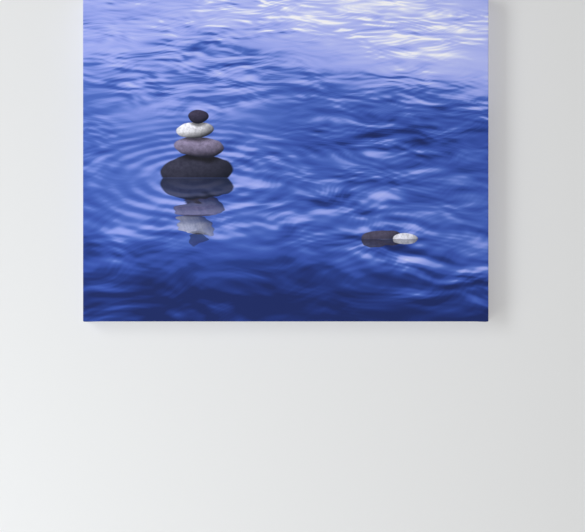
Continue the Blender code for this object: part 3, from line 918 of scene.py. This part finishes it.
def brightZinc(form):  # zinc plated steel: silvery and a little blue, with fine rolling lines
    add, place, finish = newMaterial("steelBrightZincPlated_" + form, {"Metallic": 1.0})
    tint = add("TexNoise", [place, zinc["bloom"], 3.0])
    base = add("ValToRGB", [tint], zinc[form])
    lines = add("TexNoise", [add("multiply", [place, zinc["rolling"]]), 1.0, 2.0])
    turn = (0.0, radians(zinc["scratchTurn"]), 0.0)
    scratch = add("Mapping", {0: place, 2: turn, 3: zinc["scratch"]}, turned)
    scratch = add("MapRange", [add("TexNoise", [scratch, 1.0, 0.0]), *zinc["scratchGloss"]])
    gloss = add("MapRange", [lines, *mostNoise, *zinc["gloss"]])
    gloss = add("ADD", [gloss, scratch])
    return finish(base, lines, zinc["bump"], gloss)


def softRubber():  # moulded rubber: near black and matt, with a fine granular skin that holds dust
    add, place, finish = newMaterial("rubberMoulded", {"Specular IOR Level": 0.35})
    grain = add("TexNoise", [place, 1 / rubber["grain"], 2.0])
    base = add("ValToRGB", [grain], rubber["colours"])
    gloss = add("MapRange", [grain, *mostNoise, *rubber["gloss"]])
    return finish(base, grain, rubber["bump"], gloss)


def dressNodes():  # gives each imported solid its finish, by a word in its name
    finishes = {"across": sawnBeech("X"), "upright": sawnBeech("Z"), "pad": softRubber()}
    finishes["nail"] = finishes["hanger"] = brightZinc("strip")
    for board, facts in boards.items():
        finishes[board] = planedPine(board, *facts)
    for name, solid in nodes.items():
        for word, material in finishes.items():
            if word in name:
                solid.data.materials.clear()
                solid.data.materials.append(material)


dressNodes()
print("wood, metal and rubber finished")


# The staples that hold the canvas, and the threads that its cut edge sheds

staples = {
    "spacing": 45 * mm,
    "inset": 10 * mm,  # from the panel's outer edge to the middle of a staple
    "crown": 10.6 * mm,
    "wire": (1.25 * mm, 0.5 * mm),  # width and thickness of the flat wire
    "bend": 0.7 * mm,
    "bendSteps": 4,
    "leg": 1.7 * mm,  # the legs end just inside the wood
    "sunk": 0.15 * mm,
    "turnDegrees": 6.0,
    "fromCorner": 52 * mm,
    "padRoom": 14 * mm,  # none lies this near a pad's middle
    "onFold": (24 * mm, 11 * mm),  # one more holds each corner fold: how far in from the sides
    "foldDegrees": (8, 16),
}
threads = {
    "count": 76,
    "lengths": (3 * mm, 11 * mm),
    "thickness": 0.34 * mm,
    "clear": 0.2 * mm,  # above the wood
    "fromCorner": 60 * mm,
    "hidden": 0.6 * mm,  # its root, under the cut edge
    "heading": 1.2,  # at most, from straight in
    "curl": 3.0,
    "lift": 0.5 * mm,
    "steps": 8,
    "sides": 5,
    "tip": 0.55,
    "twist": 1500.0,  # patches a metre
    "colours": [(0.3, "E3DDCE"), (0.7, "F7F3E8")],
    "bump": (0.4, 0.03 * mm),
}


def flatWire(width, thick):  # the wire's rounded section, (across, out)
    nip = 0.3 * thick
    half, rise = width / 2, thick / 2
    lower = [(-half + nip, -rise), (half - nip, -rise), (half, -rise + nip), (half, rise - nip)]
    return lower + [(-across, -out) for across, out in lower]


def sweep(shape, rings):  # joins rings of points into one closed tube
    verts = [[shape.verts.new(p) for p in ring] for ring in rings]
    for one, other in zip(verts, verts[1:]):
        for j in range(len(one)):
            k = (j + 1) % len(one)
            shape.faces.new((one[j], one[k], other[k], other[j]))
    shape.faces.new(list(reversed(verts[0])))
    shape.faces.new(verts[-1])


def addStaple(shape, x, z, turn, lift):  # a bent flat wire, its crown on the cloth and its legs in the wood
    width, thick = staples["wire"]
    section = flatWire(width, thick)
    bend, steps, half = staples["bend"], staples["bendSteps"], staples["crown"] / 2
    path = [(-half + thick / 2, -staples["leg"], pi / 2)]  # (along, out, turn of the wire)
    for step in range(steps + 1):
        angle = pi / 2 * (1 - step / steps)
        along = -half + thick / 2 + bend * (1 - sin(angle))
        path.append((along, -bend + bend * cos(angle), angle))
    path += [(-along, out, -angle) for along, out, angle in reversed(path)]
    cosine, sine = cos(turn), sin(turn)
    rise = panel["back"] + lift + thick / 2 - staples["sunk"]
    rings = []
    for along, out, angle in path:
        ring = [(along - up * sin(angle), across, out + up * cos(angle)) for across, up in section]
        rings.append([(x + a * cosine - w * sine, rise + o, z + a * sine + w * cosine) for a, w, o in ring])
    sweep(shape, rings)


def makeStaples():
    random.seed(24)
    shape = bmesh.new()
    pads = [[(a + b) / 2 for a, b in zip(*box)] for box in (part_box("pad_left"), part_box("pad_right"))]
    for side in range(4):
        halfLength, farOut = sideHalves(side)
        halfAlong, out = halfLength - staples["fromCorner"], farOut - staples["inset"]
        count = round(2 * halfAlong / staples["spacing"])
        for index in range(count + 1):
            along = -halfAlong + 2 * halfAlong * index / count + random.uniform(-2, 2) * mm
            off = out + random.uniform(-1, 1) * mm
            turn = radians(random.uniform(-1, 1) * staples["turnDegrees"])
            x, z = onSide(side, along, off)
            z += panel["middle"]
            if all(max(abs(x - pad[0]), abs(z - pad[2])) >= staples["padRoom"] for pad in pads):
                addStaple(shape, x, z, turn + (pi / 2 if side % 2 else 0.0), 0.0)
    inX, inZ = staples["onFold"]
    for right, top in panelCorners:
        x, z = right * (halves[0] - inX), panel["middle"] + top * (halves[1] - inZ)
        turn = radians(right * top * random.uniform(*staples["foldDegrees"]))
        addStaple(shape, x, z, turn, folds["layer"])
    meshPiece("canvas_staples", shape, [brightZinc("wire")])


def makeThreads():
    random.seed(11)
    shape = bmesh.new()
    radius = threads["thickness"] / 2
    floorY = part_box("bar_top")[1][1] + threads["clear"] + radius
    widest, steps, sides = threads["heading"], threads["steps"], threads["sides"]
    for thread in range(threads["count"]):
        side = random.randrange(4)
        halfLength, farOut = sideHalves(side)
        halfAlong = halfLength - threads["fromCorner"]
        out = farOut - canvas["flange"] + threads["hidden"]
        along = random.uniform(-halfAlong, halfAlong)
        length = random.uniform(*threads["lengths"])
        heading = random.uniform(-widest, widest)
        curl = random.uniform(-1.0, 1.0) * threads["curl"]
        points = []
        for step in range(steps + 1):
            share = step / steps
            angle = heading + curl * share**1.5
            if step:
                along += sin(angle) * length / steps
                out -= cos(angle) * length / steps
            x, z = onSide(side, along, out)
            lift = threads["lift"] * sin(pi * min(1.0, share * 1.3))
            lift *= 0.4 + 0.6 * abs(curl) / threads["curl"]  # a curly thread stands up more
            points.append(Vector((x, floorY + lift, panel["middle"] + z)))
        rings = []
        for step, point in enumerate(points):
            ahead = points[min(step + 1, steps)] - points[max(step - 1, 0)]
            flatSide = ahead.cross(Vector((0.0, 1.0, 0.0))).normalized()
            upSide = flatSide.cross(ahead).normalized()
            thin = radius * (threads["tip"] if step == steps else 1.0)
            angles = [2 * pi * corner / sides for corner in range(sides)]
            rings.append([point + thin * (cos(a) * flatSide + sin(a) * upSide) for a in angles])
        sweep(shape, rings)
    for face in shape.faces:
        face.smooth = True
    meshPiece("canvas_threads", shape, [looseThread()])


def looseThread():  # spun poly-cotton: off-white, matt and a little fuzzy
    add, place, finish = newMaterial("polyCottonThreadSpun", {"Roughness": 0.9, "Specular IOR Level": 0.2})
    twist = add("TexNoise", [place, threads["twist"], 1.0])
    base = add("ValToRGB", [twist], threads["colours"])
    return finish(base, twist, threads["bump"])


makeStaples()
makeThreads()
print("staples and loose threads added")
